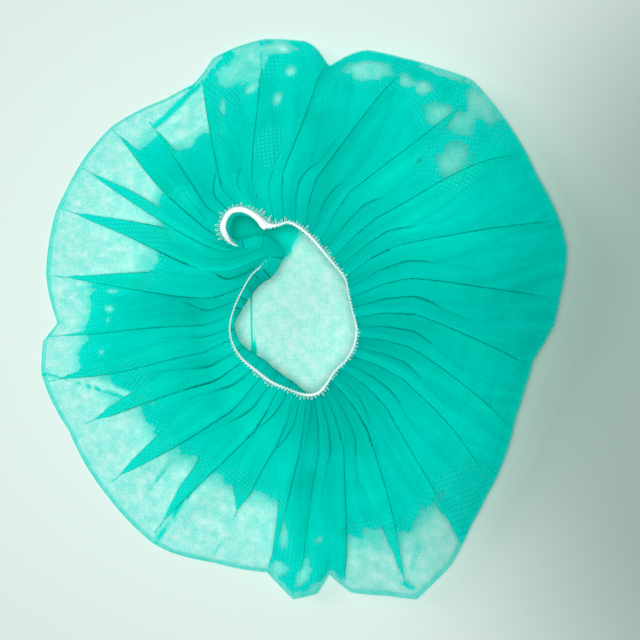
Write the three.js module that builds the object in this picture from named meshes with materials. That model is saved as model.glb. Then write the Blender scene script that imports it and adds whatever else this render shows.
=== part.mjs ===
import * as THREE from 'three';

// A disposable bouffant cap of thin nonwoven cloth, laid crown down on a surface.
// Its elastic mouth faces up along +Z, and the cloth round it is gathered into folds.

// Driving sizes in millimetres
const rimRadius = 148; // from the cap's middle to its rim, before each fold's own share
const rimTurn = 3; // radius at which the cloth turns over at the rim
const rimLift = 24; // how far the puffed side of the rim stands off the floor
const mouthWidth = 72.3; // of the elastic's route, along X
const mouthLength = 103.6; // of the elastic's route, along Y
const mouthHeight = 42; // of the elastic's middle, above the floor
const mouthMiddleX = -4.6;
const mouthMiddleY = 8.8;
const clothWall = 1.2;
const foldHeight = 15; // from crest to valley of the deepest folds
const elasticWidth = 4.2;
const elasticHeight = 2.6;
const hemMargin = 1; // of cloth that runs on past the elastic into the mouth
const seamGap = 0.35; // between the cloth and the elastic, and between the elastic's two lengths

// Finish of the mesh
const columnsPerFold = 4;
const loopSides = 6;
const loopStepsPerRow = 4;
const steepestFold = 1.6; // rise over run, so that a crowded fold keeps its wall
const relaxRows = 20;
const relaxPasses = 250;

// The folds, anticlockwise from the cap's back. rim is a fold's angle at the rim in degrees,
// crest and valley are shares of rimRadius at the fold and between it and the next one,
// lift is a share of rimLift, tip is how far towards the rim the fold reaches, depth is a
// share of foldHeight, and lean is how far the crest hangs over towards the next fold.
const FOLDS = [
  { rim: 98, crest: 1.08, valley: 1.06, lift: 0.2, tip: 0.9, depth: 0.75, lean: 0.2 },
  { rim: 112, crest: 1.0, valley: 0.98, lift: 0.1, tip: 1.1, depth: 0.7, lean: 0.3 },
  { rim: 127, crest: 1.01, valley: 1.03, lift: 0.04, tip: 0.95, depth: 0.7, lean: -0.2 },
  { rim: 143, crest: 1.03, valley: 1.02, lift: 0.01, tip: 1.1, depth: 0.75, lean: -0.4 },
  { rim: 156, crest: 1.02, valley: 1.0, lift: 0, tip: 1.1, depth: 0.8, lean: -0.3 },
  { rim: 170, crest: 0.98, valley: 0.94, lift: 0, tip: 1.15, depth: 0.85, lean: -0.4 },
  { rim: 184, crest: 0.97, valley: 1.01, lift: 0, tip: 1.15, depth: 0.8, lean: 0.3 },
  { rim: 197, crest: 1.0, valley: 0.99, lift: 0, tip: 1.05, depth: 0.85, lean: 0.4 },
  { rim: 208, crest: 0.98, valley: 0.99, lift: 0, tip: 1.1, depth: 0.8, lean: 0.3 },
  { rim: 222, crest: 1.0, valley: 1.0, lift: 0.02, tip: 0.95, depth: 0.85, lean: 0.2 },
  { rim: 236, crest: 1.02, valley: 1.01, lift: 0.05, tip: 1.0, depth: 0.9, lean: -0.3 },
  { rim: 250, crest: 0.99, valley: 0.97, lift: 0.12, tip: 0.9, depth: 0.85, lean: 0.2 },
  { rim: 262, crest: 0.97, valley: 1.01, lift: 0.25, tip: 1.1, depth: 0.9, lean: 0.3 },
  { rim: 270, crest: 1.06, valley: 1.01, lift: 0.29, tip: 1.1, depth: 0.8, lean: 0 },
  { rim: 281, crest: 1.05, valley: 1.1, lift: 0.35, tip: 1.1, depth: 0.9, lean: -0.3 },
  { rim: 293, crest: 1.14, valley: 1.1, lift: 0.41, tip: 1.1, depth: 0.95, lean: -0.2 },
  { rim: 306, crest: 1.04, valley: 0.99, lift: 0.57, tip: 0.9, depth: 1.0, lean: 0.2 },
  { rim: 320, crest: 0.95, valley: 0.92, lift: 0.8, tip: 0.8, depth: 0.95, lean: 0.2 },
  { rim: 335, crest: 0.88, valley: 0.88, lift: 0.95, tip: 0.9, depth: 1.0, lean: -0.2 },
  { rim: 350, crest: 0.88, valley: 0.94, lift: 0.98, tip: 0.75, depth: 0.9, lean: 0.2 },
  { rim: 365, crest: 0.97, valley: 1.01, lift: 1.0, tip: 0.7, depth: 1.0, lean: -0.2 },
  { rim: 380, crest: 1.03, valley: 1.03, lift: 1.0, tip: 0.8, depth: 0.95, lean: 0.3 },
  { rim: 396, crest: 1.05, valley: 1.07, lift: 0.84, tip: 0.75, depth: 0.9, lean: 0.2 },
  { rim: 412, crest: 1.1, valley: 1.08, lift: 0.64, tip: 0.9, depth: 0.95, lean: -0.2 },
  { rim: 428, crest: 1.06, valley: 1.05, lift: 0.47, tip: 0.95, depth: 0.85, lean: 0.2 },
  { rim: 444, crest: 0.98, valley: 1.06, lift: 0.31, tip: 1.15, depth: 0.9, lean: -0.3 },
];

// The floor layer, from the middle out: out is a share of the rim's radius there, and lift a
// share of the rim's lift.
const FLOOR_ROWS = [
  { out: 0.3, lift: 0 },
  { out: 0.58, lift: 0 },
  { out: 0.74, lift: 0.12 },
  { out: 0.87, lift: 0.46 },
  { out: 0.955, lift: 0.82 },
];

// Where the cloth turns over at the rim, in degrees above level.
const RIM_ROWS = [-60, 0, 60];

// The gathered layer, from the rim in: way is the share of the way from mouth to rim, flat and
// puffed are shares of the rise from rim to mouth on the low side and on the puffed side, and
// fold is a share of each fold's depth.
const TOP_ROWS = [
  { way: 0.95, flat: 0.02, puffed: 0.3, fold: 0.06 },
  { way: 0.87, flat: 0.07, puffed: 0.66, fold: 0.18 },
  { way: 0.77, flat: 0.16, puffed: 1.0, fold: 0.34 },
  { way: 0.66, flat: 0.28, puffed: 1.28, fold: 0.5 },
  { way: 0.55, flat: 0.41, puffed: 1.46, fold: 0.62 },
  { way: 0.44, flat: 0.56, puffed: 1.52, fold: 0.74 },
  { way: 0.34, flat: 0.7, puffed: 1.48, fold: 0.86 },
  { way: 0.25, flat: 0.83, puffed: 1.38, fold: 0.95 },
  { way: 0.17, flat: 0.94, puffed: 1.25, fold: 1.0 },
  { way: 0.1, flat: 1.01, puffed: 1.12, fold: 0.8 },
  { way: 0.04, flat: 1.02, puffed: 1.03, fold: 0.4 },
  { way: 0, flat: 1.0, puffed: 1.0, fold: 0 },
];

// The elastic's route round the mouth, anticlockwise from its blunt outer end: x and y are
// shares of half the mouth's width and length, rise is a share of mouthHeight, and from is the
// angle of the rim, in degrees, whose cloth is gathered there.
const MOUTH_ROUTE = [
  { x: -0.32, y: 0.79, rise: 1.0, from: 101 },
  { x: -0.43, y: 0.88, rise: 1.02, from: 106 },
  { x: -0.56, y: 0.96, rise: 1.04, from: 111 },
  { x: -0.71, y: 1.0, rise: 1.05, from: 116 },
  { x: -0.87, y: 0.97, rise: 1.05, from: 122 },
  { x: -0.97, y: 0.89, rise: 1.04, from: 128 },
  { x: -1.0, y: 0.78, rise: 1.02, from: 133 },
  { x: -0.96, y: 0.68, rise: 0.99, from: 138 },
  { x: -0.85, y: 0.61, rise: 0.95, from: 143 },
  { x: -0.71, y: 0.58, rise: 0.91, from: 147 },
  { x: -0.56, y: 0.6, rise: 0.88, from: 151 },
  { x: -0.41, y: 0.61, rise: 0.86, from: 154 },
  { x: -0.29, y: 0.56, rise: 0.84, from: 157 },
  { x: -0.26, y: 0.48, rise: 0.84, from: 160 },
  { x: -0.38, y: 0.39, rise: 0.85, from: 164 },
  { x: -0.54, y: 0.29, rise: 0.87, from: 169 },
  { x: -0.67, y: 0.14, rise: 0.89, from: 175 },
  { x: -0.79, y: -0.04, rise: 0.91, from: 183 },
  { x: -0.86, y: -0.23, rise: 0.93, from: 191 },
  { x: -0.83, y: -0.4, rise: 0.94, from: 199 },
  { x: -0.7, y: -0.56, rise: 0.95, from: 208 },
  { x: -0.49, y: -0.71, rise: 0.95, from: 220 },
  { x: -0.24, y: -0.87, rise: 0.94, from: 234 },
  { x: 0.03, y: -0.96, rise: 0.93, from: 250 },
  { x: 0.25, y: -1.0, rise: 0.93, from: 264 },
  { x: 0.44, y: -0.96, rise: 0.94, from: 278 },
  { x: 0.57, y: -0.83, rise: 0.96, from: 293 },
  { x: 0.68, y: -0.71, rise: 0.98, from: 306 },
  { x: 0.85, y: -0.59, rise: 1.0, from: 319 },
  { x: 0.97, y: -0.44, rise: 1.01, from: 333 },
  { x: 1.0, y: -0.26, rise: 1.02, from: 346 },
  { x: 0.94, y: -0.08, rise: 1.01, from: 361 },
  { x: 0.88, y: 0.1, rise: 1.0, from: 374 },
  { x: 0.83, y: 0.25, rise: 1.0, from: 386 },
  { x: 0.6, y: 0.45, rise: 1.0, from: 403 },
  { x: 0.37, y: 0.64, rise: 1.0, from: 421 },
  { x: 0.18, y: 0.76, rise: 1.0, from: 435 },
  { x: 0.0, y: 0.82, rise: 0.99, from: 446 },
  { x: -0.17, y: 0.79, rise: 0.99, from: 454 },
];

// The doubled length of elastic starts at the route's first row and ends in this one.
const overlapEndRow = 9;
const overlapOutward = 0.9; // how far the upper length lies outside the lower one

const fullTurn = 360;
const up = new THREE.Vector3(0, 0, 1);

const mouthCurve = new THREE.CatmullRomCurve3(
  MOUTH_ROUTE.map((row) => new THREE.Vector3(
    mouthMiddleX + (row.x * mouthWidth) / 2,
    mouthMiddleY + (row.y * mouthLength) / 2,
    row.rise * mouthHeight,
  )),
  true,
  'catmullrom',
  0.5,
);

/** The point of the elastic's route that gathers the cloth from this angle of the rim. */
function mouthPoint(rimAngle) {
  const first = MOUTH_ROUTE[0].from;
  const angle = first + THREE.MathUtils.euclideanModulo(rimAngle - first, fullTurn);
  const count = MOUTH_ROUTE.length;
  let row = 0;
  while (row < count - 1 && MOUTH_ROUTE[row + 1].from <= angle) {
    row += 1;
  }
  const next = row + 1 < count ? MOUTH_ROUTE[row + 1].from : first + fullTurn;
  const share = (angle - MOUTH_ROUTE[row].from) / (next - MOUTH_ROUTE[row].from);
  return mouthCurve.getPoint((row + share) / count);
}

/** Level unit vectors that point out of a closed, anticlockwise route. */
function outwardOf(points, closed = true) {
  const last = points.length - 1;
  return points.map((point, i) => {
    const before = points[closed ? (i + last) % points.length : Math.max(i - 1, 0)];
    const after = points[closed ? (i + 1) % points.length : Math.min(i + 1, last)];
    const along = new THREE.Vector3().subVectors(after, before);
    return new THREE.Vector3(along.y, -along.x, 0).normalize();
  });
}

/** One entry for each column of the sheet's mesh: valley, flank, crest and flank of each fold. */
function columns() {
  const marks = [];
  FOLDS.forEach((fold, i) => {
    const last = FOLDS[(i + FOLDS.length - 1) % FOLDS.length];
    const next = FOLDS[(i + 1) % FOLDS.length];
    const lastRim = i === 0 ? last.rim - fullTurn : last.rim;
    const nextRim = i === FOLDS.length - 1 ? next.rim + fullTurn : next.rim;
    const valley = {
      rim: (lastRim + fold.rim) / 2,
      radius: last.valley,
      lift: (last.lift + fold.lift) / 2,
      tip: (last.tip + fold.tip) / 2,
      depth: (last.depth + fold.depth) / 2,
      wave: -1,
    };
    const halfStep = fold.lean > 0 ? (nextRim - fold.rim) / 2 : (fold.rim - lastRim) / 2;
    const crest = {
      rim: fold.rim + (fold.lean * halfStep) / 2,
      radius: fold.crest,
      lift: fold.lift,
      tip: fold.tip,
      depth: fold.depth,
      wave: 1,
    };
    marks.push(valley, crest);
  });
  const list = [];
  marks.forEach((mark, i) => {
    const next = { ...marks[(i + 1) % marks.length] };
    if (i === marks.length - 1) {
      next.rim += fullTurn;
    }
    const perMark = columnsPerFold / 2;
    for (let step = 0; step < perMark; step += 1) {
      const share = step / perMark;
      const column = {};
      Object.keys(mark).forEach((key) => {
        column[key] = THREE.MathUtils.lerp(mark[key], next[key], share);
      });
      list.push(column);
    }
  });
  return list;
}

/** A closed line averaged with its own neighbours, pass after pass, so that its bends ease. */
function eased(line, passes) {
  let result = line;
  for (let pass = 0; pass < passes; pass += 1) {
    const source = result;
    result = source.map((point, i) => {
      const before = source[(i + source.length - 1) % source.length];
      const after = source[(i + 1) % source.length];
      return new THREE.Vector2(
        point.x / 2 + (before.x + after.x) / 4,
        point.y / 2 + (before.y + after.y) / 4,
      );
    });
  }
  return result;
}

/**
 * Lines nested from the mouth out to the rim, one for each relaxed row, that never cross.
 * They start as blends of the two and are relaxed until the grid of rows and columns is even
 * (the elliptic grid equations, solved point by point).
 */
function nestedLines(mouthLine, rimLine) {
  const count = mouthLine.length;
  const lines = [];
  for (let row = 0; row <= relaxRows; row += 1) {
    const way = row / relaxRows;
    const soft = eased(mouthLine, row * row);
    lines.push(soft.map((point, i) => point.clone().lerp(rimLine[i], way)));
  }
  for (let pass = 0; pass < relaxPasses; pass += 1) {
    for (let row = 1; row < relaxRows; row += 1) {
      for (let i = 0; i < count; i += 1) {
        const west = (i + count - 1) % count;
        const east = (i + 1) % count;
        const around = lines[row][east].clone().sub(lines[row][west]);
        const across = lines[row + 1][i].clone().sub(lines[row - 1][i]);
        const alpha = across.lengthSq();
        const gamma = around.lengthSq();
        const beta = around.dot(across);
        const twist = lines[row + 1][east].clone()
          .sub(lines[row + 1][west])
          .sub(lines[row - 1][east])
          .add(lines[row - 1][west]);
        const sum = lines[row][east].clone().add(lines[row][west]).multiplyScalar(alpha);
        sum.addScaledVector(lines[row + 1][i].clone().add(lines[row - 1][i]), gamma);
        sum.addScaledVector(twist, -beta / 2);
        lines[row][i] = sum.divideScalar(2 * (alpha + gamma));
      }
    }
  }
  return lines;
}

/** The point at a share of the length of one column of the nested lines, from the mouth out. */
function alongColumn(lines, column, way) {
  const reach = [0];
  for (let row = 1; row < lines.length; row += 1) {
    reach.push(reach[row - 1] + lines[row][column].distanceTo(lines[row - 1][column]));
  }
  const wanted = way * reach[reach.length - 1];
  let row = 1;
  while (row < lines.length - 1 && reach[row] < wanted) {
    row += 1;
  }
  const share = (wanted - reach[row - 1]) / (reach[row] - reach[row - 1]);
  return lines[row - 1][column].clone().lerp(lines[row][column], share);
}

/** The rows of points down the middle of the cloth: floor layer, rim, gathered layer and hem. */
function clothRows() {
  const list = columns();
  const floorLevel = clothWall / 2;
  const directions = list.map((column) => {
    const angle = THREE.MathUtils.degToRad(column.rim);
    return new THREE.Vector2(Math.cos(angle), Math.sin(angle));
  });
  const rimAt = (i, inset) => directions[i].clone()
    .multiplyScalar(list[i].radius * rimRadius - inset);
  const rows = [];

  FLOOR_ROWS.forEach((section) => {
    rows.push(list.map((column, i) => {
      const plan = rimAt(i, 0).multiplyScalar(section.out);
      return new THREE.Vector3(plan.x, plan.y, floorLevel + section.lift * column.lift * rimLift);
    }));
  });

  RIM_ROWS.forEach((degrees) => {
    const angle = THREE.MathUtils.degToRad(degrees);
    rows.push(list.map((column, i) => {
      const plan = rimAt(i, rimTurn * (1 - Math.cos(angle)));
      const middle = floorLevel + rimTurn + column.lift * rimLift;
      return new THREE.Vector3(plan.x, plan.y, middle + rimTurn * Math.sin(angle));
    }));
  });

  const route = list.map((column) => mouthPoint(column.rim));
  const outward = outwardOf(route);
  const hemOut = elasticWidth / 2 + hemMargin / 2;
  const hemLevel = (i) => route[i].z - elasticHeight / 2 - seamGap - clothWall / 2;
  const hemLine = route.map((point, i) => new THREE.Vector2(
    point.x + hemOut * outward[i].x,
    point.y + hemOut * outward[i].y,
  ));
  const rimLine = list.map((column, i) => rimAt(i, rimTurn));
  const lines = nestedLines(hemLine, rimLine);

  TOP_ROWS.forEach((section) => {
    const plans = list.map((column, i) => alongColumn(lines, i, section.way));
    rows.push(list.map((column, i) => {
      const before = plans[(i + plans.length - 1) % plans.length];
      const after = plans[(i + 1) % plans.length];
      const room = (steepestFold * before.distanceTo(after)) / 2;
      const reached = THREE.MathUtils.smoothstep(column.tip - section.way, 0, 0.2);
      const wanted = (foldHeight / 2) * section.fold * column.depth * reached;
      const rimTop = floorLevel + 2 * rimTurn + column.lift * rimLift;
      const rise = THREE.MathUtils.lerp(section.flat, section.puffed, column.lift);
      const level = rimTop + (hemLevel(i) - rimTop) * rise;
      return new THREE.Vector3(plans[i].x, plans[i].y, level + column.wave * Math.min(wanted, room));
    }));
  });

  rows.push(route.map((point, i) => new THREE.Vector3(
    point.x - hemMargin * outward[i].x,
    point.y - hemMargin * outward[i].y,
    hemLevel(i),
  )));
  return rows;
}

/** Triangles of a sheet that starts in one middle point and grows by closed rows. */
function sheetTriangles(rowCount, columnCount) {
  const triangles = [];
  const at = (row, i) => 1 + row * columnCount + (i % columnCount);
  for (let i = 0; i < columnCount; i += 1) {
    triangles.push([0, at(0, i), at(0, i + 1)]);
    for (let row = 0; row < rowCount - 1; row += 1) {
      triangles.push([at(row, i), at(row + 1, i), at(row + 1, i + 1)]);
      triangles.push([at(row, i), at(row + 1, i + 1), at(row, i + 1)]);
    }
  }
  return triangles;
}

/** For each point, the step along its normal that carries every face beside it by one unit. */
function wallSteps(points, triangles) {
  const faceNormals = triangles.map(([a, b, c]) => new THREE.Vector3()
    .crossVectors(
      new THREE.Vector3().subVectors(points[b], points[a]),
      new THREE.Vector3().subVectors(points[c], points[a]),
    )
    .normalize());
  const sums = points.map(() => new THREE.Vector3());
  const faces = points.map(() => []);
  triangles.forEach((corners, face) => {
    corners.forEach((corner, k) => {
      const toNext = new THREE.Vector3().subVectors(points[corners[(k + 1) % 3]], points[corner]);
      const toLast = new THREE.Vector3().subVectors(points[corners[(k + 2) % 3]], points[corner]);
      sums[corner].addScaledVector(faceNormals[face], toNext.angleTo(toLast));
      faces[corner].push(face);
    });
  });
  const longestMitre = 1.7;
  return sums.map((sum, i) => {
    const normal = sum.normalize();
    const lean = Math.min(...faces[i].map((face) => faceNormals[face].dot(normal)));
    return normal.clone().multiplyScalar(1 / Math.max(lean, 1 / longestMitre));
  });
}

/** A closed BufferGeometry from points and the triangles between them. */
function solid(points, triangles) {
  const geometry = new THREE.BufferGeometry();
  geometry.setAttribute('position', new THREE.Float32BufferAttribute(
    points.flatMap((point) => [point.x, point.y, point.z]),
    3,
  ));
  geometry.setIndex(triangles.flat());
  geometry.computeVertexNormals();
  return geometry;
}

/** The cloth: a wall of clothWall round the rows, open at the mouth, whose cut edge is closed. */
function capSheet() {
  const rows = clothRows();
  const columnCount = rows[0].length;
  const points = [new THREE.Vector3(0, 0, clothWall / 2), ...rows.flat()];
  const triangles = sheetTriangles(rows.length, columnCount);
  const steps = wallSteps(points, triangles);
  const inner = points.map((point, i) => point.clone().addScaledVector(steps[i], clothWall / 2));
  const outer = points.map((point, i) => point.clone().addScaledVector(steps[i], -clothWall / 2));
  const shift = points.length;
  const faces = [
    ...triangles,
    ...triangles.map(([a, b, c]) => [a + shift, c + shift, b + shift]),
  ];
  const edge = 1 + (rows.length - 1) * columnCount;
  for (let i = 0; i < columnCount; i += 1) {
    const here = edge + i;
    const next = edge + ((i + 1) % columnCount);
    faces.push([here, here + shift, next + shift], [here, next + shift, next]);
  }
  return solid([...inner, ...outer], faces);
}

/** A band of elastic with an oval section carried along a route, closed on itself or capped. */
function elasticBand(route, closed) {
  const outward = outwardOf(route, closed);
  const points = [];
  route.forEach((middle, i) => {
    for (let side = 0; side < loopSides; side += 1) {
      const angle = (side / loopSides) * 2 * Math.PI + Math.PI / loopSides;
      points.push(middle.clone()
        .addScaledVector(outward[i], (Math.cos(angle) / Math.cos(Math.PI / loopSides))
          * (elasticWidth / 2))
        .addScaledVector(up, Math.sin(angle) * (elasticHeight / 2)));
    }
  });
  const triangles = [];
  const spans = closed ? route.length : route.length - 1;
  const at = (i, side) => (i % route.length) * loopSides + (side % loopSides);
  for (let i = 0; i < spans; i += 1) {
    for (let side = 0; side < loopSides; side += 1) {
      triangles.push([at(i, side), at(i + 1, side + 1), at(i, side + 1)]);
      triangles.push([at(i, side), at(i + 1, side), at(i + 1, side + 1)]);
    }
  }
  if (!closed) {
    const end = route.length - 1;
    for (let side = 1; side < loopSides - 1; side += 1) {
      triangles.push([at(0, 0), at(0, side), at(0, side + 1)]);
      triangles.push([at(end, 0), at(end, side + 1), at(end, side)]);
    }
  }
  return solid(points, triangles);
}

/** The whole loop of elastic. */
function hemElastic() {
  const steps = MOUTH_ROUTE.length * loopStepsPerRow;
  const route = Array.from({ length: steps }, (_, i) => mouthCurve.getPoint(i / steps));
  return elasticBand(route, true);
}

/** The elastic's second length, which lies on the loop from its blunt end round the lobe. */
function elasticOverlap() {
  const steps = overlapEndRow * loopStepsPerRow;
  const below = Array.from(
    { length: steps + 1 },
    (_, i) => mouthCurve.getPoint(i / loopStepsPerRow / MOUTH_ROUTE.length),
  );
  const outward = outwardOf(below, false);
  const route = below.map((point, i) => point.clone()
    .addScaledVector(outward[i], overlapOutward)
    .addScaledVector(up, elasticHeight + seamGap));
  return elasticBand(route, false);
}

const clothMaterial = new THREE.MeshStandardMaterial({
  color: 0x17cdb4,
  roughness: 0.85,
  metalness: 0,
  transparent: true,
  opacity: 0.7,
  side: THREE.DoubleSide,
});
const elasticMaterial = new THREE.MeshStandardMaterial({
  color: 0xe4f5f0,
  roughness: 0.8,
  metalness: 0,
});

const hairnet = new THREE.Group();
[
  ['cap_sheet', capSheet(), clothMaterial],
  ['hem_elastic', hemElastic(), elasticMaterial],
  ['elastic_overlap', elasticOverlap(), elasticMaterial],
].forEach(([name, geometry, material]) => {
  const mesh = new THREE.Mesh(geometry, material);
  mesh.name = name;
  hairnet.add(mesh);
});

export default hairnet;
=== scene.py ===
import bpy
import numpy as np
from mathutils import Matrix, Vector


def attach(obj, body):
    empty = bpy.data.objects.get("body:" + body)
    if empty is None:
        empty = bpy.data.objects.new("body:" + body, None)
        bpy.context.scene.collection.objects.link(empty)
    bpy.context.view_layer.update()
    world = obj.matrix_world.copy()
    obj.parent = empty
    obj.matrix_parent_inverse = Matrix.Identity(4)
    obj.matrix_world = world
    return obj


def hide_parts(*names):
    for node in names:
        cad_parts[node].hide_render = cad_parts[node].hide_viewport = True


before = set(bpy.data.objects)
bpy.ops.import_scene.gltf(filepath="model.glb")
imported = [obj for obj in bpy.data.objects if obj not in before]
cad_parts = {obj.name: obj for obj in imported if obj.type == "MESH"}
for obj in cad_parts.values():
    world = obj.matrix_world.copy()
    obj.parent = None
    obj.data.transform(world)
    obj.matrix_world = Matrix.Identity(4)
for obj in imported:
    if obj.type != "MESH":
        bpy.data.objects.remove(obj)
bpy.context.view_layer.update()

mm = 0.001

# The mouth
# One loop of elastic edges the cap's mouth. It has sprung back from its stretched length and
# lies in a loose bent ring with a small lobe at its upper left. All the cloth of the cap's
# edge is gathered on it, so its route is settled before the cloth.

MOUTH_WIDTH = 72.3 * mm
MOUTH_LENGTH = 103.6 * mm
MOUTH_HEIGHT = 42 * mm
MOUTH_MIDDLE = np.array([-4.6 * mm, 8.8 * mm])

# x and y are shares of half the mouth's width and length, and rise is a share of its height.
# rim is the angle in degrees of the rim whose cloth is gathered there, roll is how far the
# gathers bulge past the elastic into the mouth, in millimetres, tuck is 1 where the elastic
# is tucked under the cloth, edge is 1 where the elastic stands on its edge, and band is the
# share of its full width that the thread, drawn tight round it, leaves it.
MOUTH_COLUMNS = ("x", "y", "rise", "rim", "roll", "tuck", "edge", "band")
MOUTH_ROUTE = [
    (-0.32, 0.79, 1, 101, 3, 0, 0.1, 0.95),
    (-0.43, 0.86, 1.02, 106, 3, 0, 0.1, 0.9),
    (-0.56, 0.92, 1.04, 111, 3, 0, 0.2, 0.85),
    (-0.7, 0.95, 1.05, 116, 3.5, 0, 0.2, 0.85),
    (-0.84, 0.93, 1.05, 122, 4, 0, 0.3, 0.75),
    (-0.92, 0.86, 1.04, 128, 4.5, 0, 0.3, 0.75),
    (-0.95, 0.77, 1.02, 133, 4.5, 0, 0.1, 0.9),
    (-0.92, 0.68, 0.99, 138, 4, 0, 0.4, 0.8),
    (-0.84, 0.61, 0.95, 143, 3, 0.2, 0.8, 0.4),
    (-0.71, 0.58, 0.91, 147, 2, 0.9, 0.9, 0.2),
    (-0.56, 0.6, 0.88, 151, 3, 1, 0.9, 0.2),
    (-0.41, 0.61, 0.86, 154, 4, 1, 0.8, 0.2),
    (-0.29, 0.56, 0.84, 157, 5.5, 1, 0.8, 0.2),
    (-0.26, 0.48, 0.84, 160, 7, 1, 0.9, 0.2),
    (-0.38, 0.39, 0.85, 164, 8, 0.8, 0.9, 0.1),
    (-0.54, 0.29, 0.87, 169, 7, 0.3, 0.9, 0.1),
    (-0.67, 0.14, 0.89, 175, 6, 0, 0.9, 0.1),
    (-0.79, -0.04, 0.91, 183, 4.5, 0, 0.9, 0.12),
    (-0.86, -0.23, 0.93, 191, 3, 0, 0.9, 0.12),
    (-0.83, -0.4, 0.94, 199, 4, 0, 0.8, 0.15),
    (-0.7, -0.56, 0.95, 208, 6, 0, 0.7, 0.3),
    (-0.49, -0.69, 0.95, 220, 7.5, 0, 0.6, 0.4),
    (-0.24, -0.82, 0.94, 234, 7, 0, 0.5, 0.35),
    (0.03, -0.9, 0.93, 250, 5, 0, 0.5, 0.15),
    (0.25, -0.95, 0.93, 264, 2, 0, 0.3, 0.25),
    (0.44, -0.93, 0.94, 278, 0.8, 0, 0.3, 0.35),
    (0.57, -0.83, 0.96, 293, 0.4, 0, 0.5, 0.25),
    (0.68, -0.71, 0.98, 306, 0.3, 0, 0.6, 0.2),
    (0.85, -0.59, 1, 319, 0.3, 0, 0.6, 0.18),
    (0.97, -0.44, 1.01, 333, 0.3, 0, 0.5, 0.18),
    (1, -0.26, 1.02, 346, 0.3, 0, 0.6, 0.18),
    (0.94, -0.08, 1.01, 361, 0.3, 0, 0.8, 0.1),
    (0.88, 0.1, 1, 374, 0.3, 0, 0.8, 0.1),
    (0.83, 0.25, 1, 386, 0.4, 0, 0.6, 0.15),
    (0.6, 0.45, 1, 403, 0.6, 0, 0.4, 0.22),
    (0.37, 0.64, 1, 421, 0.8, 0, 0.3, 0.3),
    (0.18, 0.76, 1, 435, 1.5, 0, 0.1, 0.3),
    (0, 0.82, 0.99, 446, 2, 0, 0.2, 0.25),
    (-0.17, 0.79, 0.99, 454, 2.5, 0, 0.1, 0.3),
]
mouth = dict(zip(MOUTH_COLUMNS, np.array(MOUTH_ROUTE).T))
route_points = np.stack([
    MOUTH_MIDDLE[0] + mouth["x"] * MOUTH_WIDTH / 2,
    MOUTH_MIDDLE[1] + mouth["y"] * MOUTH_LENGTH / 2,
    mouth["rise"] * MOUTH_HEIGHT,
], axis=-1)


def spline(pick, t):
    """Catmull-Rom: a cubic in t through two points, pulled by the one before and the one after."""
    before, here, after, far = (pick(step) for step in (-1, 0, 1, 2))
    return 0.5 * (
        2 * here
        + (after - before) * t
        + (2 * before - 5 * here + 4 * after - far) * t**2
        + (3 * here - before - 3 * after + far) * t**3
    )


def closed_curve(points, rows):
    """The closed spline through the points, at fractional row numbers."""
    base = np.floor(rows).astype(int)
    t = rows - base
    if points.ndim > 1:
        t = t[..., None]
    return spline(lambda step: points[(base + step) % len(points)], t)


def route_row(rim_degrees):
    """The fractional row of the route where the cloth from a rim angle is gathered."""
    first = mouth["rim"][0]
    marks = np.append(mouth["rim"], first + 360)
    return np.interp(first + (rim_degrees - first) % 360, marks, np.arange(len(marks)))


def unit(vectors):
    """The same vectors, each of length 1."""
    return vectors / np.linalg.norm(vectors, axis=-1, keepdims=True)


def tangents(points):
    """A closed line's direction at its points: from the one before to the one after."""
    return np.roll(points, -1, 0) - np.roll(points, 1, 0)


def outward_of(along):
    """Level unit vectors that point out of an anticlockwise line: its tangents turned."""
    return unit(np.stack([along[:, 1], -along[:, 0], np.zeros(len(along))], axis=-1))


# The cloth
# One disc of thin spunbond polypropylene, 53 cm across, point-bonded in a fine grid of dots.
# It lies crown down: a floor layer out to the rim, then back over itself to the mouth, where
# its edge is gathered, so that the upper layer falls into sharp pleats that open to the rim.

CUT_RADIUS = 265 * mm
RIM_RADIUS = 148 * mm
RIM_LIFT = 24 * mm
RIM_TURN_FLAT = 0.9 * mm
RIM_TURN_PUFFED = 3.0 * mm
FLOOR_GAP = 0.25 * mm
HEM_OUT = 1.6 * mm

# The rim's outline seen from above: its angle in degrees and its share of the rim's radius.
OUTLINE_COLUMNS = ("angle", "out")
OUTLINE = [
    (4, 0.97), (11, 1.01), (15, 1.03), (20, 1.035), (26, 1.035), (31, 1.035), (36, 1.05),
    (46, 1.08), (54, 1.11), (61, 1.08), (69, 1.06), (76, 1.05), (79, 1.02), (83, 0.965),
    (86, 1.03), (88, 1.055), (97, 1.075), (103, 1.065), (108, 1.05), (111, 1.01),
    (114, 0.985), (121, 0.985), (128, 1.01), (134, 1.03), (142, 1.03), (152, 1.02),
    (156, 1.02), (166, 0.995), (170, 0.985), (175, 0.96), (181, 0.925), (185, 0.985),
    (192, 1.01), (198, 1.0), (206, 0.98), (214, 0.99), (223, 1.0), (237, 1.025),
    (241, 1.02), (251, 0.985), (263, 0.97), (266, 1.015), (269, 1.065), (274, 1.045),
    (277, 0.975), (281, 1.055), (288, 1.1), (293, 1.15), (297, 1.12), (302, 1.09),
    (310, 1.01), (317, 0.965), (323, 0.94), (330, 0.91), (336, 0.885), (343, 0.88),
    (350, 0.885), (353, 0.905), (359, 0.95),
]
outline = dict(zip(OUTLINE_COLUMNS, np.array(OUTLINE).T))

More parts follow.
